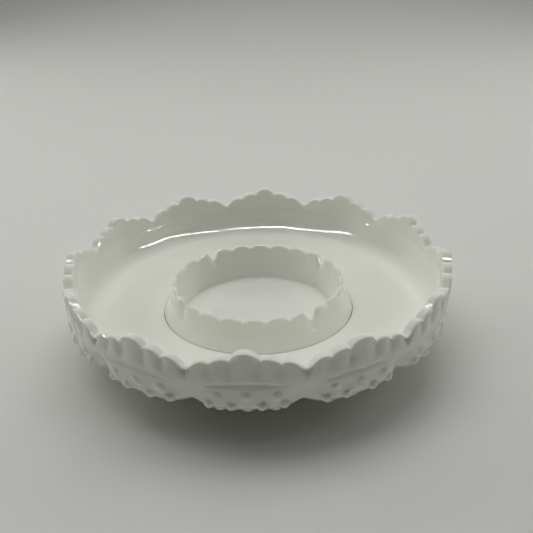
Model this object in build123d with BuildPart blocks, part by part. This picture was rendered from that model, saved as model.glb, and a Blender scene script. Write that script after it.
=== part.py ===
from build123d import *
import os
from math import cos, radians, sin, tan

# Chip and dip server in pressed white glass: a wide shallow serving bowl and a dip cup
# that stands in a round well in the middle of its floor.
# Frame: +Z up, origin at the centre of the foot ring, on the surface the bowl stands on.
# All lengths are millimetres, all angles degrees. A point of a section is (radius, height).

# ---- driving dimensions of the serving bowl ----
RIM_RADIUS = 155.5              # to the outside of the tallest lobes
BOWL_HEIGHT = 82.0              # foot to the top of the tallest lobes
RIM_THICKNESS = 7.5             # glass measured across the top of the rim
WALL_BREAK = (154.8, 64.0)      # outside of the wall, where it starts to lean in below the lobes
BELLY = (151.75, 37.3)          # where the lines of the outer wall and the underside cross
BELLY_ROUNDING = 12.0
UNDERSIDE_TURN = (136.5, 26.3)  # where the underside turns flatter
UNDERSIDE_ROUNDING = 35.0
UNDERSIDE_MIDDLE = (115.0, 22.5)
FOOT_ROOT = (76.5, 15.5)        # where the underside meets the foot ring
FOOT_OUTER = 73.0               # foot ring, at the surface it stands on
FOOT_INNER = 66.5
FOOT_DRAFT = 2.0                # the inside of the ring leans in by this much
UNDERSIDE_Z = 15.5              # underside of the glass inside the foot ring
WELL_RADIUS = 78.2              # round seat of the dip cup
WELL_EDGE_Z = 33.4              # floor height at the edge of the well
WELL_FLOOR_Z = 23.5
INNER_CORNER = (142.3, 41.0)    # where the lines of the dished floor and the inner wall cross
INNER_ROUNDING = 14.0

# ---- scalloped rim: angles are counted from the middle of a panel ----
PANELS = 12
MIDDLE_DIP = (3.7, 76.2)        # (angle, height) of the dip beside the tall middle lobe
OUTER_DIP = (8.7, 73.1)
LAST_DIP = (13.2, 70.0)         # end of the last lobe
SMALL_LOBE_RISE = 2.3           # of a small lobe over the line between its dips
NOTCH_Z = 67.2                  # bottom of the notch between two panels

# ---- valley below each notch, which parts the swelling panels of the underside ----
VALLEY_MIDDLE = (147.4, 34.2)   # a point of the belly that the valley crosses
VALLEY_SLOPE = 38.6
VALLEY_RADIUS = 16.0
VALLEY_DEPTH = 5.0
VALLEY_LENGTH = 90.0

# ---- driving dimensions of the dip cup ----
CUP_CLEARANCE = 0.3             # radial play of the cup in its well
CUP_RIM_RADIUS = 70.6           # outside of the rim
CUP_RIM_Z = 58.4                # top of the rim lobes
CUP_RIM_THICKNESS = 3.6
CUP_WAIST = (72.2, 45.5)        # outside of the wall, halfway down
CUP_DIP_Z = 55.0                # between two lobes
CUP_NOTCH_Z = 50.0              # bottom of the four deep notches
CUP_NOTCH_WIDTH = 11.0          # across the top of a notch
CUP_NOTCH_FLOOR = 1.6           # across the bottom of a notch
CUP_LOBES = 24
CUP_SCALLOPS = 4
CUP_TURN = 38.4                 # direction of the first notch, from +X towards +Y
CUP_FLOOR_Z = 27.0
CUP_INNER_RADIUS = 63.5         # inside of the wall, just above the floor corner
CUP_CORNER = 2.0                # inside corner radius
CUP_FOOT_RADIUS = 66.0          # inside edge of the ring the cup stands on
CUP_FOOT_RECESS = 1.5

OVERCUT = 5.0                   # how far a cut runs past the glass that it shapes


def radial_plane(angle, radius):
    """Upright plane facing outwards: its x runs round the bowl and its y runs up."""
    out = Vector(cos(radians(angle)), sin(radians(angle)), 0)
    along = Vector(-sin(radians(angle)), cos(radians(angle)), 0)
    return Plane(origin=out * radius, x_dir=along, z_dir=out)


def around(angle, radius):
    """Distance along the tangent for a point some degrees from the middle of the plane."""
    return radius * tan(radians(angle))


def between(dip, next_dip, side):
    """Top of the small lobe that stands between two dips."""
    middle_angle = (dip[0] + next_dip[0]) / 2
    middle_height = (dip[1] + next_dip[1]) / 2
    return (side * around(middle_angle, RIM_RADIUS), middle_height + SMALL_LOBE_RISE)


# ---- serving bowl ----
with BuildPart() as serving_bowl:
    with BuildSketch(Plane.XZ) as bowl_section:
        with BuildLine():
            inside_break = (WALL_BREAK[0] - RIM_THICKNESS, WALL_BREAK[1])
            Polyline((0, WELL_FLOOR_Z), (WELL_RADIUS, WELL_FLOOR_Z), (WELL_RADIUS, WELL_EDGE_Z))
            FilletPolyline((WELL_RADIUS, WELL_EDGE_Z), INNER_CORNER, inside_break,
                           radius=INNER_ROUNDING)
            Polyline(inside_break, (RIM_RADIUS - RIM_THICKNESS, BOWL_HEIGHT),
                     (RIM_RADIUS, BOWL_HEIGHT), WALL_BREAK)
            FilletPolyline(WALL_BREAK, BELLY, UNDERSIDE_TURN, UNDERSIDE_MIDDLE,
                           radius=[BELLY_ROUNDING, UNDERSIDE_ROUNDING])
            Polyline(UNDERSIDE_MIDDLE, FOOT_ROOT, (FOOT_OUTER, 0), (FOOT_INNER, 0),
                     (FOOT_INNER - FOOT_DRAFT, UNDERSIDE_Z), (0, UNDERSIDE_Z), (0, WELL_FLOOR_Z))
        make_face()
    revolve(axis=Axis.Z)

    # Five lobes and a notch on every panel: the glass above their outline is cut away.
    cut_start = INNER_CORNER[0] - INNER_ROUNDING
    for panel in range(PANELS):
        angle = 360 / PANELS * panel
        with BuildSketch(radial_plane(angle, cut_start)):
            with BuildLine():
                half = around(180 / PANELS, RIM_RADIUS)
                for side in (-1, 1):
                    dips = [(side * around(off, RIM_RADIUS), height)
                            for off, height in (MIDDLE_DIP, OUTER_DIP, LAST_DIP)]
                    ThreePointArc(dips[0], between(MIDDLE_DIP, OUTER_DIP, side), dips[1])
                    ThreePointArc(dips[1], between(OUTER_DIP, LAST_DIP, side), dips[2])
                    Polyline(dips[2], (side * half, NOTCH_Z), (side * half, BOWL_HEIGHT + OVERCUT))
                dip_x = around(MIDDLE_DIP[0], RIM_RADIUS)
                ThreePointArc((-dip_x, MIDDLE_DIP[1]), (0, BOWL_HEIGHT), (dip_x, MIDDLE_DIP[1]))
                Line((-half, BOWL_HEIGHT + OVERCUT), (half, BOWL_HEIGHT + OVERCUT))
            make_face()
        extrude(amount=RIM_RADIUS - cut_start + OVERCUT, mode=Mode.SUBTRACT)

    # A rounded valley below every notch.
    downhill = Vector(-cos(radians(VALLEY_SLOPE)), 0, -sin(radians(VALLEY_SLOPE)))
    away = Vector(sin(radians(VALLEY_SLOPE)), 0, -cos(radians(VALLEY_SLOPE)))
    middle = Vector(VALLEY_MIDDLE[0], 0, VALLEY_MIDDLE[1]) + away * (VALLEY_RADIUS - VALLEY_DEPTH)
    start = middle - downhill * VALLEY_LENGTH / 2
    for panel in range(PANELS):
        angle = 360 / PANELS * (panel + 0.5)
        valley_plane = Plane(origin=start.rotate(Axis.Z, angle), z_dir=downhill.rotate(Axis.Z, angle))
        with BuildSketch(valley_plane):
            Circle(VALLEY_RADIUS)
        extrude(amount=VALLEY_LENGTH, mode=Mode.SUBTRACT)

# ---- dip cup ----
with BuildPart() as dip_cup:
    with BuildSketch(Plane.XZ) as cup_section:
        with BuildLine():
            seat_radius = WELL_RADIUS - CUP_CLEARANCE
            corner_inner = (CUP_INNER_RADIUS - CUP_CORNER, CUP_FLOOR_Z)
            corner_outer = (CUP_INNER_RADIUS, CUP_FLOOR_Z + CUP_CORNER)
            Line((0, CUP_FLOOR_Z), corner_inner)
            TangentArc(corner_inner, corner_outer, tangent=(1, 0))
            Polyline(corner_outer, (CUP_RIM_RADIUS - CUP_RIM_THICKNESS, CUP_RIM_Z),
                     (CUP_RIM_RADIUS, CUP_RIM_Z))
            Spline((CUP_RIM_RADIUS, CUP_RIM_Z), CUP_WAIST, (seat_radius, WELL_EDGE_Z))
            Polyline((seat_radius, WELL_EDGE_Z), (seat_radius, WELL_FLOOR_Z),
                     (CUP_FOOT_RADIUS, WELL_FLOOR_Z),
                     (CUP_FOOT_RADIUS - CUP_FOOT_RECESS, WELL_FLOOR_Z + CUP_FOOT_RECESS),
                     (0, WELL_FLOOR_Z + CUP_FOOT_RECESS), (0, CUP_FLOOR_Z))
        make_face()
    revolve(axis=Axis.Z)

    # Small round lobes all the way round the rim.
    cup_cut_start = CUP_INNER_RADIUS - OVERCUT
    cup_cut_length = CUP_RIM_RADIUS - cup_cut_start + OVERCUT
    lobe_pitch = 360 / CUP_LOBES
    lobe_half = around(lobe_pitch / 2, CUP_RIM_RADIUS)
    for lobe in range(CUP_LOBES):
        angle = CUP_TURN + lobe_pitch * (lobe + 0.5)
        with BuildSketch(radial_plane(angle, cup_cut_start)):
            with BuildLine():
                ThreePointArc((-lobe_half, CUP_DIP_Z), (0, CUP_RIM_Z), (lobe_half, CUP_DIP_Z))
                Polyline((lobe_half, CUP_DIP_Z), (lobe_half, CUP_RIM_Z + OVERCUT),
                         (-lobe_half, CUP_RIM_Z + OVERCUT), (-lobe_half, CUP_DIP_Z))
            make_face()
        extrude(amount=cup_cut_length, mode=Mode.SUBTRACT)

    # Four deep notches part the rim into scallops.
    for scallop in range(CUP_SCALLOPS):
        angle = CUP_TURN + 360 / CUP_SCALLOPS * scallop
        with BuildSketch(radial_plane(angle, cup_cut_start)):
            with BuildLine():
                Polyline((-CUP_NOTCH_FLOOR / 2, CUP_NOTCH_Z), (CUP_NOTCH_FLOOR / 2, CUP_NOTCH_Z),
                         (CUP_NOTCH_WIDTH / 2, CUP_RIM_Z), (-CUP_NOTCH_WIDTH / 2, CUP_RIM_Z),
                         (-CUP_NOTCH_FLOOR / 2, CUP_NOTCH_Z))
            make_face()
        extrude(amount=cup_cut_length, mode=Mode.SUBTRACT)

# ---- one STEP file for each piece ----
os.makedirs("parts", exist_ok=True)
for label, piece in (("serving_bowl", serving_bowl), ("dip_cup", dip_cup)):
    piece.part.label = label
    export_step(piece.part, f"parts/{label}.step")
    size = piece.part.bounding_box().size
    volume = piece.part.volume / 1000
    print(f"{label}: {size.X:.1f} x {size.Y:.1f} x {size.Z:.1f} mm, volume {volume:.0f} cm3")
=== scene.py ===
# %% [markdown]
# # A chip and dip server in pressed white glass
# A hot gob of opaque white glass is pressed between an iron mould and a plunger. The mould
# gives the outside its lobed rim, its swelling panels and its rows of hobnails, and the
# plunger gives the smooth dished inside. A dip cup stands in a round well in the middle.
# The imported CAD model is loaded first, because every size and place below starts from it.

# %% Load the frame
from math import atan, atan2, ceil, cos, degrees, hypot, pi, radians, sin, sqrt, tan

import bpy
from mathutils import Matrix, Vector


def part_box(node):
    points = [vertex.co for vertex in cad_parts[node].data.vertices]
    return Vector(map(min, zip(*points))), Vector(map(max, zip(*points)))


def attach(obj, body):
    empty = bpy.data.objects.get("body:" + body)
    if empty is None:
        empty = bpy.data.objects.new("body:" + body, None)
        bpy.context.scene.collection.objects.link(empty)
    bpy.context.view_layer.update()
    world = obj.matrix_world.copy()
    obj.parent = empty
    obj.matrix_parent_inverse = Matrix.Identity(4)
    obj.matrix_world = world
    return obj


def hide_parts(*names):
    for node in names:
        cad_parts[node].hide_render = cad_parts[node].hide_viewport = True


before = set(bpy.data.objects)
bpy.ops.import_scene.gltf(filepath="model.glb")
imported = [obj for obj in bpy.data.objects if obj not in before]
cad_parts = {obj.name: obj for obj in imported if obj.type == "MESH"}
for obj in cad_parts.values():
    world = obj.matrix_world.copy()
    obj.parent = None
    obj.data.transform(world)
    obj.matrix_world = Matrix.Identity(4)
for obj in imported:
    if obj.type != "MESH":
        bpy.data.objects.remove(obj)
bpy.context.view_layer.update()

MM = 0.001

# %% [markdown]
# ## Drawing a section and spinning it
# Round glassware is drawn as half of its cut section. The section here is a chain of straight
# runs with rounded corners, put down point by point with Extrude, exactly as it would be
# traced by hand. Spin then sweeps it through one panel, not the whole circle, because a
# pressed pattern repeats: one panel is shaped well and the others are copies of it.

# %% Rounded corners along a section
LONGEST_STEP = 0.4                 # of a corner's rounding, so that small corners stay round


def rounded_section(corners):
    """Points along a chain of corners. Each corner is (radius out, height, rounding, spacing)."""
    points = [Vector(corners[0][:2])]
    for before, here, after in zip(corners, corners[1:], corners[2:]):
        corner = Vector(here[:2])
        back = (Vector(before[:2]) - corner).normalized()
        ahead = (Vector(after[:2]) - corner).normalized()
        half = back.angle(ahead) / 2
        rounding = here[2]
        if rounding == 0:
            add_run(points, corner, here[3])
            continue
        add_run(points, corner + back * (rounding / tan(half)), here[3])
        middle = corner + (back + ahead).normalized() * (rounding / sin(half))
        start = points[-1] - middle
        sweep = start.angle_signed(corner + ahead * (rounding / tan(half)) - middle)
        steps = max(3, ceil(abs(sweep) * rounding / min(here[3], rounding * LONGEST_STEP)))
        for step in range(1, steps + 1):
            turn = Matrix.Rotation(-sweep * step / steps, 2)
            points.append(middle + turn @ start)
    add_run(points, Vector(corners[-1][:2]), corners[-1][3])
    return points


def add_run(points, end, spacing):
    """Straight run from the last point to the end, in even steps of about the spacing."""
    start = points[-1].copy()
    steps = max(1, round((end - start).length / spacing))
    for step in range(1, steps + 1):
        points.append(start.lerp(end, step / steps))


# %% Trace the section and spin one panel
def only(piece):
    """Make one object the active one and the only one selected."""
    bpy.ops.object.select_all(action="DESELECT")
    piece.select_set(True)
    bpy.context.view_layer.objects.active = piece


def trace_section(name, points):
    """A chain of edges in the XZ plane, extruded point by point from a plane merged to one vertex."""
    bpy.ops.object.select_all(action="DESELECT")
    bpy.ops.mesh.primitive_plane_add(size=MM, location=(points[0].x * MM, 0, points[0].y * MM))
    piece = bpy.context.object
    piece.name = name
    bpy.ops.object.transform_apply(location=True, rotation=True, scale=True)
    bpy.ops.object.mode_set(mode="EDIT")
    bpy.ops.mesh.select_mode(type="VERT")
    bpy.ops.mesh.select_all(action="SELECT")
    bpy.ops.mesh.merge(type="CENTER")
    for start, end in zip(points, points[1:]):
        step = (end - start) * MM
        bpy.ops.mesh.extrude_region_move(TRANSFORM_OT_translate={"value": (step.x, 0, step.y)})
    bpy.ops.object.mode_set(mode="OBJECT")
    return piece


def spin_panel(piece, angle, steps):
    """Sweep the section round the upright axis, from +X towards +Y."""
    only(piece)
    bpy.ops.object.mode_set(mode="EDIT")
    bpy.ops.mesh.select_all(action="SELECT")
    bpy.ops.mesh.spin(steps=steps, angle=angle, center=(0, 0, 0), axis=(0, 0, -1))
    bpy.ops.object.mode_set(mode="OBJECT")
    places = [vertex.co for vertex in piece.data.vertices]
    spread = max(atan2(place.y, place.x) for place in places if hypot(place.x, place.y) > MM)
    print(piece.name, "panel:", len(places), "points, over", round(degrees(spread), 2), "degrees")


# %% Cut a panel finer where the pattern needs it
SAME = 0.01 * MM                   # closer than this counts as the same place


def split_columns(piece, wanted):
    """Halve the edges that run round the piece wherever wanted(radius, height) holds, in mm."""
    only(piece)
    mesh = piece.data
    chosen = []
    for edge in mesh.edges:
        a, b = (mesh.vertices[i].co for i in edge.vertices)
        radius_a, radius_b = hypot(a.x, a.y), hypot(b.x, b.y)
        level = abs(a.z - b.z) < SAME and abs(radius_a - radius_b) < SAME and (a - b).length > SAME
        chosen.append(level and wanted(radius_a / MM, a.z / MM))
    split_chosen(piece, chosen)


def split_patches(piece, wanted):
    """Halve every edge of the faces whose middles pass wanted(x, y, z), in mm."""
    only(piece)
    mesh = piece.data
    chosen = [False] * len(mesh.edges)
    edge_of = {edge.key: edge.index for edge in mesh.edges}
    for face in mesh.polygons:
        if wanted(*(face.center / MM)):
            for key in face.edge_keys:
                chosen[edge_of[key]] = True
    split_chosen(piece, chosen)


def split_chosen(piece, chosen):
    """Subdivide the chosen edges once."""
    mesh = piece.data
    bpy.ops.object.mode_set(mode="EDIT")
    bpy.ops.mesh.select_mode(type="EDGE")
    bpy.ops.mesh.select_all(action="DESELECT")
    bpy.ops.object.mode_set(mode="OBJECT")
    mesh.edges.foreach_set("select", chosen)
    bpy.ops.object.mode_set(mode="EDIT")
    bpy.ops.mesh.subdivide(number_cuts=1)
    bpy.ops.mesh.select_mode(type="VERT")
    bpy.ops.object.mode_set(mode="OBJECT")


# %% Press the pattern, then copy the panel round
SHARPEST_SMOOTH = 48               # degrees between two faces that are still shaded as one


def press(piece, pattern):
    """Move every point to where pattern(angle in degrees, radius, height) says, in mm."""
    for vertex in piece.data.vertices:
        x, y, z = vertex.co / MM
        radius = hypot(x, y)
        if radius < SAME / MM:
            continue
        angle, radius, height = pattern(degrees(atan2(y, x)), radius, z)
        vertex.co = Vector((radius * cos(radians(angle)), radius * sin(radians(angle)), height)) * MM
    piece.data.update()


def copy_round(piece, count, first_turn):
    """Copies of the panel all the way round, joined into one closed skin with its faces outwards."""
    pitch = 360 / count
    copies = [piece]
    while len(copies) < count:
        only(piece)
        bpy.ops.object.duplicate(linked=False)
        copies.append(bpy.context.object)
    for number, copy in enumerate(copies):
        only(copy)
        copy.rotation_euler.z = radians(first_turn + pitch * number)
        bpy.ops.object.transform_apply(location=False, rotation=True, scale=False)
    for copy in copies:
        copy.select_set(True)
    bpy.context.view_layer.objects.active = piece
    bpy.ops.object.join()
    bpy.ops.object.mode_set(mode="EDIT")
    bpy.ops.mesh.select_all(action="SELECT")
    bpy.ops.mesh.remove_doubles(threshold=SAME)
    bpy.ops.mesh.select_all(action="SELECT")
    bpy.ops.mesh.normals_make_consistent(inside=False)
    bpy.ops.object.mode_set(mode="OBJECT")
    bpy.ops.object.shade_smooth_by_angle(angle=radians(SHARPEST_SMOOTH))
    report_skin(piece)


def report_skin(piece):
    """Print the triangle count and how many edges aren't shared by exactly two faces."""
    uses = {}
    for face in piece.data.polygons:
        for key in face.edge_keys:
            uses[key] = uses.get(key, 0) + 1
    open_edges = sum(1 for count in uses.values() if count != 2)
    triangles = sum(len(face.vertices) - 2 for face in piece.data.polygons)
    print(piece.name, "triangles:", triangles, "edges not shared by two faces:", open_edges)


# %% [markdown]
# ## Soft steps
# Pressed glass has no hard transitions, because the skin flows a little before it sets and the
# rim is then melted smooth in a flame. A bevel could round each step, but there are hundreds of
# them and they fade into each other. One small curve does nearly all the blending below instead:
# a ramp with soft ends.

# %% A ramp with soft ends
def ramp(low, high, value):
    """0 below low, 1 above high, and a soft S between them."""
    part = min(max((value - low) / (high - low), 0), 1)
    return part * part * (3 - 2 * part)


print("ramp in quarters:", [round(ramp(0, 1, part / 4), 3) for part in range(5)])

# %% [markdown]
# ## The serving bowl
# The bowl is about 311 mm across and 82 mm tall: a hidden foot ring, a gently dished floor, a
# rounded corner and a low wall that stands almost upright. Its rim has twelve panels, each with
# a tall lobe in the middle, two smaller ones either side of it, and a notch at each end. Spinning
# the section all the way round would give a plain bowl at once, but the pattern would then have
# to be shaped twelve times, so one panel is spun and finished first.

# %% Sizes of the bowl, in mm
bowl_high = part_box("serving_bowl")[1]
RIM_RADIUS = bowl_high.x / MM
RIM_TOP = bowl_high.z / MM
PANELS = 12
HALF_PANEL = 180 / PANELS
RIM_THICKNESS = 7.5
RIM_FLARE = 0.04                   # how far the rim leans out for each mm it rises
WALL_FLARE = 0.115                 # and the wall below it
WALL_BREAK = 64.0                  # height where one meets the other
WELL_RADIUS = 78.2
WELL_EDGE = 33.4
WELL_FLOOR = 23.5
INNER_CORNER = (142.3, 41.0)
INNER_ROUNDING = 14.0
BREAK_RADIUS = RIM_RADIUS - RIM_FLARE * (RIM_TOP - WALL_BREAK)
BELLY = (151.75, 37.3)             # where the lines of the wall and the underside cross
BELLY_ROUNDING = 12.0
UNDERSIDE_TURN = (136.5, 26.3)     # where the underside turns flatter
UNDERSIDE_ROUNDING = 35.0
UNDERSIDE_MIDDLE = (115, 22.5)
UNDERSIDE_HEIGHT = 15.5            # of the glass inside the foot ring
FOOT_ROOT = (76.5, UNDERSIDE_HEIGHT)
FOOT_OUTER = 73.0
FOOT_INNER = 66.5
FOOT_DRAFT = 2.0                   # the inside of the ring leans in by this much
print("rim radius and height:", round(RIM_RADIUS, 1), round(RIM_TOP, 1))

# %% The bowl's section, from the middle of the well over the rim to the middle of the foot
BREAK_ROUNDING = 30
CRESCENT_HIGH = 61                 # the crescent is pressed between these heights
CRESCENT_LOW = 54


def outer_wall(height):
    """Radius of the outer skin of the wall."""
    if height > WALL_BREAK:
        return RIM_RADIUS - RIM_FLARE * (RIM_TOP - height)
    return BREAK_RADIUS - WALL_FLARE * (WALL_BREAK - height)


bowl_section = rounded_section([
    (0, WELL_FLOOR, 0, 1),                                # middle of the well
    (WELL_RADIUS - 8.2, WELL_FLOOR, 0, 14),
    (WELL_RADIUS, WELL_FLOOR, 1.5, 4),
    (WELL_RADIUS, WELL_EDGE, 1.3, 3),
    (*INNER_CORNER, INNER_ROUNDING, 4),
    (BREAK_RADIUS - RIM_THICKNESS, WALL_BREAK, 0, 2.6),   # inside of the wall
    (RIM_RADIUS - RIM_THICKNESS, RIM_TOP, 1.6, 2.2),
    (RIM_RADIUS, RIM_TOP, 1.1, 1.5),
    (BREAK_RADIUS, WALL_BREAK, BREAK_ROUNDING, 1.5),      # outside of the wall
    (outer_wall(CRESCENT_HIGH), CRESCENT_HIGH, 0, 1.5),
    (outer_wall(CRESCENT_LOW), CRESCENT_LOW, 0, 0.9),     # fine rows, for the crescent's edge
    (*BELLY, BELLY_ROUNDING, 1.7),
    (*UNDERSIDE_TURN, UNDERSIDE_ROUNDING, 1.8),
    (*UNDERSIDE_MIDDLE, 0, 1.8),
    (*FOOT_ROOT, 3.0, 4),
    (FOOT_OUTER, 0, 1.5, 4),
    (FOOT_INNER, 0, 1.5, 3),
    (FOOT_INNER - FOOT_DRAFT, UNDERSIDE_HEIGHT, 3.0, 4),
    (0, UNDERSIDE_HEIGHT, 0, 12),                         # middle of the underside
])
print("bowl section:", len(bowl_section), "points")

# %% [markdown]
# ## The pattern on one panel
# Angles are counted from the middle of the panel, so the notches are at plus and minus 15. The
# outline of the rim is a row of arcs, and everything pressed into the outside is a small depth
# added to it: the grooves between the lobes, the chamfer under the notch, the thin crescent
# over the hobnails, and the valley that parts one swelling panel from the next. Cutting each of
# them with a boolean would leave sharp seams. Depths add up and blend, as they do in a mould.

# %% Outline of the rim
DIP_BY_MIDDLE = (3.7, 76.2)        # degrees from the middle of the panel, and height in mm
DIP_BY_END = (8.7, 73.1)
END_OF_LOBES = (13.2, 70.0)
SMALL_LOBE_RISE = 2.3              # of a small lobe over the line between its dips
LAST_LOBE_RISE = 2.2
NOTCH_HEIGHT = 67.2
NOTCH_EASE = 1.2                   # degrees over which the slope into the notch softens


def lobe(position, start, end, left_height, right_height, rise):
    """Height of a round lobe that stands on the slope between its two dips."""
    part = (position - start) / (end - start)
    half = radians(end - start) / 2 * RIM_RADIUS
    round_radius = (half * half + rise * rise) / (2 * rise)
    across = (2 * part - 1) * half
    return left_height + (right_height - left_height) * part + rise - round_radius + sqrt(
        max(round_radius ** 2 - across ** 2, 0))


def rim_outline(off):
    """Height of the rim, off degrees from the middle of the panel."""
    off = abs(off)
    if off > HALF_PANEL:
        off = 2 * HALF_PANEL - off
    middle_angle, middle_height = DIP_BY_MIDDLE
    end_angle, end_height = DIP_BY_END
    last_angle, last_height = END_OF_LOBES
    if off < middle_angle:
        return lobe(off, -middle_angle, middle_angle, middle_height, middle_height,
                    RIM_TOP - middle_height)
    if off < end_angle:
        return lobe(off, middle_angle, end_angle, middle_height, end_height, SMALL_LOBE_RISE)
    if off < last_angle:
        return lobe(off, end_angle, last_angle, end_height, last_height, LAST_LOBE_RISE)
    still_up = 1 - ramp(last_angle - NOTCH_EASE, HALF_PANEL, off)
    at_last_lobe = 1 - ramp(last_angle - NOTCH_EASE, HALF_PANEL, last_angle)
    return NOTCH_HEIGHT + (last_height - NOTCH_HEIGHT) * still_up / at_last_lobe


print("rim heights:", [round(rim_outline(off), 1) for off in (0, 3.8, 6, 9, 11, 13.3, 14, 15)])

# %% Lift and lower the wall to that outline
WALL_BASE = 60.0                   # below this height the wall isn't moved
EDGE_DEPTH = 1.7                   # depth of the rounded edge, which keeps its shape
SLOPE_STEP = 0.2                   # degrees to either side, over which the slope is measured
LEAN_START = 0.4                   # share of the wall's height below which nothing leans sideways


def follow_outline(outline, off, radius, height, top, base, flare):
    """Move a point of an even rim to the outline, keeping the rounding square to the edge."""
    climb = outline(off + SLOPE_STEP) - outline(off - SLOPE_STEP)
    slope = atan(climb / (radians(2 * SLOPE_STEP) * radius))
    depth = min(top - height, EDGE_DEPTH)
    across = depth * sin(slope)
    up = outline(off) - depth * cos(slope)
    if top - height > EDGE_DEPTH:
        part = (height - base) / (top - EDGE_DEPTH - base)
        up = base + part * (up - base)
        across *= ramp(LEAN_START, 1, part)
    return off + degrees(across / radius), radius - flare * (height - up), up


print("top of the middle lobe:", follow_outline(rim_outline, 0, RIM_RADIUS, RIM_TOP, RIM_TOP,
                                                WALL_BASE, RIM_FLARE))


# %% Depth of the grooves between the lobes
GROOVE_DEPTH = 2.2
GROOVE_LOW = 57                    # it fades in between these heights
GROOVE_HIGH = 71
LAST_BARREL = END_OF_LOBES[0] + 1.5
LOBE_ENDS = (-LAST_BARREL, -DIP_BY_END[0], -DIP_BY_MIDDLE[0],
             DIP_BY_MIDDLE[0], DIP_BY_END[0], LAST_BARREL)


def groove_depth(off, up):
    """Every lobe is a little barrel: deepest between two lobes and fading down the wall."""
    deepest = GROOVE_DEPTH * ramp(GROOVE_LOW, GROOVE_HIGH, up)
    for start, end in zip(LOBE_ENDS, LOBE_ENDS[1:]):
        if start <= off <= end:
            return deepest * ((2 * off - start - end) / (end - start)) ** 2
    return deepest


print("groove between two lobes:", round(groove_depth(DIP_BY_MIDDLE[0], NOTCH_HEIGHT), 2))


# %% Depth of the chamfer under each notch
CHAMFER_END = 58.2                 # height of its lower point
CHAMFER_DEPTH = 3.4                # at the bottom of the notch
CHAMFER_POINT = 0.2                # half its width at the lower point, in degrees
CHAMFER_OPENING = 1.75             # and how much wider it is at the bottom of the notch
CHAMFER_MOST = 1.4                 # past this share of the way up it stops growing


def chamfer_depth(off, up):
    """A pointed groove that opens upwards into the notch."""
    rise = min(max((up - CHAMFER_END) / (NOTCH_HEIGHT - CHAMFER_END), 0), CHAMFER_MOST)
    part = abs(HALF_PANEL - abs(off)) / (CHAMFER_POINT + CHAMFER_OPENING * rise)
    return CHAMFER_DEPTH * rise * max(1 - part, 0)


print("chamfer under the notch:", round(chamfer_depth(HALF_PANEL, NOTCH_HEIGHT), 2))


# %% Depth of the crescent above the hobnails
CRESCENT_REACH = 10.8              # degrees from the middle of the panel to its tips
CRESCENT_TOP = 58.6                # height of the arched line in the middle
CRESCENT_ENDS = 55.3               # and at its tips
CRESCENT_DEPTH = 1.3
CRESCENT_FADE = 2.5                # the step dies away over this height below the tips
CRESCENT_EDGE = (-0.5, 0.7)        # the arched line is this sharp, below and above


def crescent_depth(off, up):
    """A shallow step under an arched line, which dies away before the first row of hobnails."""
    side = 1 - (off / CRESCENT_REACH) ** 2
    if side <= 0:
        return 0
    arch = CRESCENT_ENDS + (CRESCENT_TOP - CRESCENT_ENDS) * side
    under_the_line = 1 - ramp(arch + CRESCENT_EDGE[0], arch + CRESCENT_EDGE[1], up)
    fading = ramp(CRESCENT_ENDS - CRESCENT_FADE * side, arch, up)
    return CRESCENT_DEPTH * sqrt(side) * under_the_line * fading


print("crescent in the middle:", round(crescent_depth(0, CRESCENT_TOP - 1), 2))


# %% Depth of the valley between two panels
VALLEY_DEPTH = 5.0
VALLEY_TOP = (40, 59)              # it fades out between these heights
VALLEY_FOOT = (84, 118)            # and between these radii, towards the foot
VALLEY_WIDTH_POWER = 3             # a higher power makes the valley narrower


def valley_depth(off, radius, up):
    """The panels swell like petals, so the skin drops away towards the notches."""
    side = sin(pi / 2 * (abs(off) / HALF_PANEL) ** VALLEY_WIDTH_POWER) ** 2
    return VALLEY_DEPTH * side * (1 - ramp(*VALLEY_TOP, up)) * ramp(*VALLEY_FOOT, radius)


print("valley at the belly:", round(valley_depth(HALF_PANEL, *BELLY), 2))


# %% [markdown]
# ## Hobnails
# The hobnails stand in staggered rows of three, four, three, two and one on every panel, getting
# fewer as the panel narrows towards the foot. A sphere could be joined on for each, but glass
# flows into the mould as one skin, so each is a low dome pushed out square to the bowl itself.

# %% Which way the skin faces
widest = max(range(len(bowl_section)), key=lambda number: bowl_section[number].x)
skin = []                          # point of the section, way it faces, and if it's outside
for number in range(1, len(bowl_section) - 1):
    along = bowl_section[number + 1] - bowl_section[number - 1]
    faces = Vector((-along.y, along.x)).normalized()
    skin.append((bowl_section[number], faces, number > widest))
print("places on the skin:", len(skin))


def skin_near(radius, height):
    """Nearest point of the section, the way it faces, and whether it's on the outside."""
    here = Vector((radius, height))
    return min(skin, key=lambda sample: (sample[0] - here).length_squared)


# %% Where the hobnails stand
HOB_RADIUS = 4.4
HOB_MARGIN = 1.2                   # the skin is cut finer this far round a hobnail
hob_rows = [                       # place on the section, how far it stands out, angles
    ((153.1, 48.0), 1.7, (-7.5, 0, 7.5)),
    ((150.9, 38.8), 2.7, (-9.7, -3.9, 3.9, 9.7)),
    ((143.2, 31.1), 1.4, (-7.7, 0, 7.7)),
    ((134.5, 25.7), 2.4, (-4.1, 4.1)),
    ((124.0, 23.9), 2.4, (0,)),
]
hobs = []
for near, rise, angles in hob_rows:
    middle = skin_near(*near)[0]
    for angle in angles:
        turned = radians(angle + HALF_PANEL)
        hobs.append((Vector((middle.x * cos(turned), middle.x * sin(turned), middle.y)), rise))
print("hobnails on a panel:", len(hobs), "and on the bowl:", len(hobs) * PANELS)


def near_a_hob(x, y, z):
    """True for a place on a hobnail or just beside one."""
    place = Vector((x, y, z))
    return any((place - hob[0]).length < HOB_RADIUS + HOB_MARGIN for hob in hobs)


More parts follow.
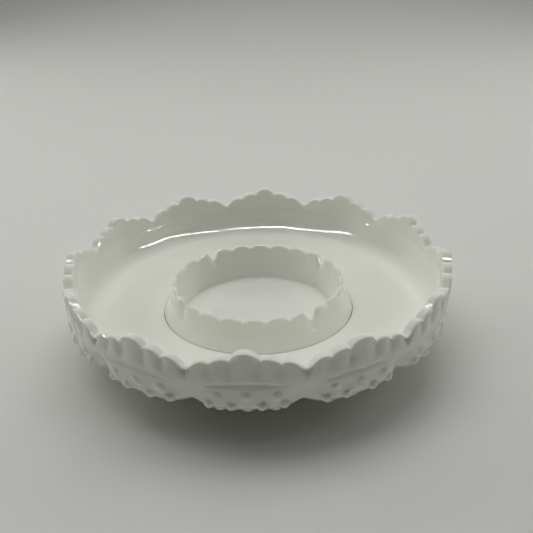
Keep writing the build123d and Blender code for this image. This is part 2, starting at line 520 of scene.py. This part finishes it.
# %% Everything that the mould presses into a panel
INSIDE_SCALLOP = 2.4               # the inside swells in by this much at the notches
SCALLOP_START = (118, 137)         # it begins between these radii of the floor
SCALLOP_FADE = (52, 78)            # and fades up the wall between these heights
SCALLOP_LOSS = 0.7                 # to this much less of it
PATTERN_LOW = 44                   # lowest height of the grooves, chamfers and crescents


def pressed_bowl(angle, radius, height):
    """New place of a point of the plain spun panel. Angles run from one notch to the next."""
    off = angle - HALF_PANEL
    out, outside = skin_near(radius, height)[1:]
    pushed = 0
    if outside and radius > VALLEY_FOOT[0]:
        turned = radians(angle)
        place = Vector((radius * cos(turned), radius * sin(turned), height))
        pushed = -valley_depth(off, radius, height)
        for middle, rise in hobs:
            part = (place - middle).length / HOB_RADIUS
            if part < 1:
                pushed += rise * (1 - part * part)
    if not outside and radius > SCALLOP_START[0]:
        bulge = sin(pi / 2 * abs(off) / HALF_PANEL) ** 2
        kept = 1 - SCALLOP_LOSS * ramp(*SCALLOP_FADE, height)
        radius -= INSIDE_SCALLOP * bulge * ramp(*SCALLOP_START, radius) * kept
    if height > WALL_BASE:
        off, radius, height = follow_outline(rim_outline, off, radius, height, RIM_TOP, WALL_BASE,
                                             RIM_FLARE)
    if outside and height > PATTERN_LOW:
        radius -= groove_depth(off, height) + chamfer_depth(off, height) + crescent_depth(off, height)
    return off + HALF_PANEL, radius + out.x * pushed, height + out.y * pushed


# %% Make the bowl
PANEL_STEPS = 24
PATTERN_START = 96                 # the outside is cut finer from this radius outwards
LOBES_START = 66                   # the whole wall is cut finer above this height
EDGE_START = 74                    # and finer again above this one


def on_the_pattern(radius, height):
    """True on the outside under the pressed pattern, and on the lobed part of the wall."""
    return radius > PATTERN_START and skin_near(radius, height)[2] or height > LOBES_START


bowl = trace_section("glass_serving_bowl", bowl_section)
spin_panel(bowl, radians(2 * HALF_PANEL), PANEL_STEPS)
split_columns(bowl, on_the_pattern)
split_columns(bowl, lambda radius, height: height > EDGE_START)
split_patches(bowl, near_a_hob)
press(bowl, pressed_bowl)
copy_round(bowl, PANELS, HALF_PANEL)
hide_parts("serving_bowl")
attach(bowl, "bowl")

# %% [markdown]
# ## The dip cup
# The cup is pressed from above, so its wall is thin at the rim and thick at the foot. Its rim is
# 24 small lobes, parted into four scallops by deep narrow notches, and its foot drops into the
# well of the bowl with a third of a millimetre to spare. It could be lathed whole and then filed,
# but a quarter that is shaped once and copied gives four notches that are exactly alike.

# %% Sizes of the cup, in mm
cup_low, cup_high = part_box("dip_cup")
CUP_TOP = cup_high.z / MM
CUP_SEAT_RADIUS = cup_high.x / MM
CUP_BOTTOM = cup_low.z / MM
CUP_RIM_RADIUS = 70.6
CUP_RIM_THICKNESS = 3.6
CUP_WAIST = (72.2, 45.5)           # outside of the wall, halfway down
CUP_FLOOR = 27.0
CUP_INNER_RADIUS = 63.3            # inside of the wall, at the floor
CUP_CORNER = 2.0
CUP_FOOT = 66.5                    # inside edge of the ring the cup stands on
CUP_RECESS = 1.5                   # of the underside inside that ring
CUP_SCALLOPS = 4
CUP_LOBES = 24
CUP_TURN = 38.4                    # direction of the first notch, in degrees
CUP_DIP = 55.0                     # height between two lobes
CUP_NOTCH = 50.0                   # height of the bottom of a notch
print("cup radius and height:", round(CUP_SEAT_RADIUS, 1), round(CUP_TOP - CUP_BOTTOM, 1))

# %% The cup's section, from the middle of its floor over the rim to the middle of its underside
CUP_WALL_BASE = 42.0               # below this height the rim's outline doesn't move the wall
SEAT_PROUD = 0.4                   # the cup's foot stands this much out of its well
cup_section = rounded_section([
    (0, CUP_FLOOR, 0, 1),                                         # middle of the floor
    (CUP_INNER_RADIUS - 11.3, CUP_FLOOR, 0, 10),
    (CUP_INNER_RADIUS, CUP_FLOOR, CUP_CORNER, 3),
    (CUP_INNER_RADIUS + 1.4, CUP_WALL_BASE, 0, 1.8),
    (CUP_RIM_RADIUS - CUP_RIM_THICKNESS, CUP_TOP, 1.5, 1.3),      # rim
    (CUP_RIM_RADIUS, CUP_TOP, 1.7, 0.9),
    (*CUP_WAIST, 26.0, 1.6),
    (CUP_SEAT_RADIUS, WELL_EDGE + SEAT_PROUD, 0.9, 1.8),
    (CUP_SEAT_RADIUS, CUP_BOTTOM, 1.3, 2.5),
    (CUP_FOOT, CUP_BOTTOM, 0.9, 4),
    (CUP_FOOT - 2.0, CUP_BOTTOM + CUP_RECESS, 0.9, 2),
    (0, CUP_BOTTOM + CUP_RECESS, 0, 11),                          # middle of the underside
])
print("cup section:", len(cup_section), "points")


# %% Outline of the cup's rim
NOTCH_FLOOR_HALF = 0.3             # half the width of a notch, at its bottom
NOTCH_TOP_HALF = 7.0               # and at the rim
CUP_FLARE = 0.0                    # the cup's rim keeps its radius where it is lowered


def cup_outline(angle):
    """Height of the cup's rim, with the notches at 0 and 90 degrees."""
    pitch = 360 / CUP_LOBES
    half = radians(pitch / 2) * CUP_RIM_RADIUS
    rise = CUP_TOP - CUP_DIP
    round_radius = (half * half + rise * rise) / (2 * rise)
    across = (angle % pitch / pitch * 2 - 1) * half
    lobes = CUP_TOP - round_radius + sqrt(round_radius ** 2 - across ** 2)
    scallop = 360 / CUP_SCALLOPS
    from_notch = radians(min(angle % scallop, scallop - angle % scallop)) * CUP_RIM_RADIUS
    side = ramp(NOTCH_FLOOR_HALF, NOTCH_TOP_HALF, from_notch)
    return CUP_NOTCH + (lobes - CUP_NOTCH) * side


print("cup rim heights:", [round(cup_outline(angle), 1) for angle in (0, 3, 7.5, 15, 22.5, 45)])


# %% Press the cup's rim
CUP_WALL_RADIUS = 60               # everything further out than this is wall
NOTCH_LOW = 52                     # the wall is cut finer above this height
NOTCH_REACH = 6.5                  # and within this many degrees of a notch


def pressed_cup(angle, radius, height):
    """New place of a point of the plain spun quarter of the cup."""
    if height > CUP_WALL_BASE and radius > CUP_WALL_RADIUS:
        return follow_outline(cup_outline, angle, radius, height, CUP_TOP, CUP_WALL_BASE,
                              CUP_FLARE)
    return angle, radius, height


def near_a_notch(x, y, z):
    """True close to the two ends of the quarter, high on the wall."""
    angle = degrees(atan2(y, x))
    return z > NOTCH_LOW and min(angle, 360 / CUP_SCALLOPS - angle) < NOTCH_REACH


# %% Make the cup
QUARTER_STEPS = 60
CUP_LOBES_START = 40               # the wall is cut finer above this height

cup = trace_section("glass_dip_cup", cup_section)
spin_panel(cup, radians(360 / CUP_SCALLOPS), QUARTER_STEPS)
split_columns(cup, lambda radius, height: height > CUP_LOBES_START)
split_patches(cup, near_a_notch)
press(cup, pressed_cup)
copy_round(cup, CUP_SCALLOPS, CUP_TURN)
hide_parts("dip_cup")
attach(cup, "cup")

# %% [markdown]
# ## The glass
# Opaque white glass is glossy, faintly translucent at its thin edges, and never quite even: it
# is a touch warmer where it is thick, the pressed skin ripples very slightly, and handling
# leaves it a little duller in patches. The light scatters just under the surface, so the
# shader has some subsurface scattering under a hard polished skin.

# %% White pressed glass
THIN_TINT = (0.765, 0.785, 0.705, 1)
THICK_TINT = (0.81, 0.825, 0.755, 1)
TINT_EDGES = (0.32, 0.68)          # where the ramp between the two tints starts and ends
POLISH = (0.03, 0.07)              # roughness, from the best polished to the dullest patch
NOISE_RANGE = (0.3, 0.7)           # nearly all of a noise lies between these values
CLOUDS_PER_METRE = 9
PATCHES_PER_METRE = 26
RIPPLES_PER_METRE = 38


def milk_glass(name):
    """Procedural opaque white glass on Object coordinates."""
    material = bpy.data.materials.new(name)
    material.use_nodes = True
    nodes, links = material.node_tree.nodes, material.node_tree.links
    shader = nodes["Principled BSDF"]
    shader.inputs["IOR"].default_value = 1.51
    shader.inputs["Subsurface Weight"].default_value = 0.35
    shader.inputs["Subsurface Radius"].default_value = (1.0, 1.0, 0.9)
    shader.inputs["Subsurface Scale"].default_value = 0.006
    place = nodes.new("ShaderNodeTexCoord")

    def noise(scale, detail):
        texture = nodes.new("ShaderNodeTexNoise")
        texture.inputs["Scale"].default_value = scale
        texture.inputs["Detail"].default_value = detail
        links.new(place.outputs["Object"], texture.inputs["Vector"])
        return texture.outputs["Fac"]

    def spread(value, low, high, into):
        remap = nodes.new("ShaderNodeMapRange")
        remap.inputs["From Min"].default_value = NOISE_RANGE[0]
        remap.inputs["From Max"].default_value = NOISE_RANGE[1]
        remap.inputs["To Min"].default_value = low
        remap.inputs["To Max"].default_value = high
        links.new(value, remap.inputs["Value"])
        links.new(remap.outputs["Result"], into)

    tint = nodes.new("ShaderNodeValToRGB")
    for stop, position, color in zip(tint.color_ramp.elements, TINT_EDGES, (THIN_TINT, THICK_TINT)):
        stop.position = position
        stop.color = color
    links.new(noise(CLOUDS_PER_METRE, 3), tint.inputs["Fac"])
    links.new(tint.outputs["Color"], shader.inputs["Base Color"])
    spread(noise(PATCHES_PER_METRE, 4), *POLISH, shader.inputs["Roughness"])

    ripple = nodes.new("ShaderNodeBump")
    ripple.inputs["Strength"].default_value = 0.12
    ripple.inputs["Distance"].default_value = 0.0012
    links.new(noise(RIPPLES_PER_METRE, 1.5), ripple.inputs["Height"])
    links.new(ripple.outputs["Normal"], shader.inputs["Normal"])
    return material


glass = milk_glass("white_pressed_glass")
for piece in (bowl, cup):
    piece.data.materials.clear()
    piece.data.materials.append(glass)
print("glass:", len(glass.node_tree.nodes), "nodes, on", len((bowl, cup)), "pieces")

# %% [markdown]
# ## Table, light and camera
# White glass on a pale ground is lit the way a potter's catalogue does it. A broad soft light
# overhead and three behind make the rim and the inside glow, and the outer wall in front falls
# into shade. They would be mirrored as pale patches in the dish, so they are hidden from the
# gloss. One long narrow light overhead does the opposite: it is seen in the gloss alone, and
# draws a crisp line round the inside corner.

# %% Pale floor with an upright backdrop
FLOOR_SIZE = 6.0
BACKDROP_HEIGHT = 3.0
PAPER_COLOR = (0.62, 0.62, 0.585, 1)

bpy.ops.object.select_all(action="DESELECT")
bpy.ops.mesh.primitive_plane_add(size=FLOOR_SIZE, location=(0, 0, 0))
floor = bpy.context.object
floor.name = "studio_floor"
bpy.ops.object.mode_set(mode="EDIT")
bpy.ops.mesh.select_mode(type="EDGE")
bpy.ops.mesh.select_all(action="DESELECT")
bpy.ops.object.mode_set(mode="OBJECT")
for edge in floor.data.edges:
    edge.select = all(floor.data.vertices[i].co.y > FLOOR_SIZE / 4 for i in edge.vertices)
bpy.ops.object.mode_set(mode="EDIT")
bpy.ops.mesh.extrude_region_move(TRANSFORM_OT_translate={"value": (0, 0, BACKDROP_HEIGHT)})
bpy.ops.object.mode_set(mode="OBJECT")

paper = bpy.data.materials.new("pale_paper")
paper.use_nodes = True
paper_shader = paper.node_tree.nodes["Principled BSDF"]
paper_shader.inputs["Base Color"].default_value = PAPER_COLOR
paper_shader.inputs["Roughness"].default_value = 0.6
floor.data.materials.append(paper)
print("floor faces:", len(floor.data.polygons))


# %% Lights
DISH = (0, 0, 0.05)                # what the softboxes face
ROOM_COLOR = (0.97, 0.99, 1.0, 1)
ROOM_STRENGTH = 0.012


def soft_light(name, place, aim, width, depth, watts):
    """Rectangular area light at place, turned to face aim."""
    lamp = bpy.data.lights.new(name, "AREA")
    lamp.shape = "RECTANGLE"
    lamp.size, lamp.size_y = width, depth
    lamp.energy = watts
    holder = bpy.data.objects.new(name, lamp)
    bpy.context.scene.collection.objects.link(holder)
    holder.location = place
    holder.rotation_mode = "QUATERNION"
    holder.rotation_quaternion = (Vector(aim) - Vector(place)).to_track_quat("-Z", "Y")
    return holder


softboxes = [
    soft_light("top_softbox", (-0.1, 0.22, 1.45), DISH, 1.8, 0.9, 13),
    soft_light("left_softbox", (-1.4, 0.75, 0.7), DISH, 1.2, 0.9, 8.5),
    soft_light("right_softbox", (1.4, 0.75, 0.7), DISH, 1.2, 0.9, 7),
    soft_light("back_softbox", (0, 2.1, 1.6), (0, 1.9, 0), 3.4, 1.4, 17),
]
for softbox in softboxes:
    softbox.visible_glossy = False
glint = soft_light("overhead_glint", (0.2, -0.55, 1.2), (0.2, -0.55, 0), 8.0, 0.05, 230)
glint.visible_diffuse = False
print("watts:", [light.data.energy for light in (*softboxes, glint)])

world = bpy.data.worlds.new("studio")
bpy.context.scene.world = world
world.use_nodes = True
world.node_tree.nodes["Background"].inputs["Color"].default_value = ROOM_COLOR
world.node_tree.nodes["Background"].inputs["Strength"].default_value = ROOM_STRENGTH

# %% Camera
CAMERA_TURN = radians(3.061)
CAMERA_TILT = radians(25.597)
CAMERA_ROLL = radians(-1.580)
CAMERA_DISTANCE = 0.62773
CAMERA_SHIFT = Vector((0.00753, -0.00206))     # right and down of the middle of the rim
CAMERA_LENS = 51.81
RIM_LEVEL = 0.0664

forward = Vector((-sin(CAMERA_TURN) * cos(CAMERA_TILT), cos(CAMERA_TURN) * cos(CAMERA_TILT),
                  -sin(CAMERA_TILT)))
level_right = Vector((cos(CAMERA_TURN), sin(CAMERA_TURN), 0))
level_down = forward.cross(level_right)
right = level_right * cos(CAMERA_ROLL) - level_down * sin(CAMERA_ROLL)
down = level_right * sin(CAMERA_ROLL) + level_down * cos(CAMERA_ROLL)
camera_data = bpy.data.cameras.new("camera")
camera_data.lens = CAMERA_LENS
camera = bpy.data.objects.new("camera", camera_data)
bpy.context.scene.collection.objects.link(camera)
aim = Vector((0, 0, RIM_LEVEL)) + right * CAMERA_SHIFT.x + down * CAMERA_SHIFT.y
facing = Matrix((right, -down, -forward)).transposed()
camera.matrix_world = Matrix.Translation(aim - forward * CAMERA_DISTANCE) @ facing.to_4x4()
bpy.context.scene.camera = camera
print("camera at:", [round(value, 3) for value in camera.matrix_world.translation])
bpy.context.scene.view_settings.view_transform = "Standard"
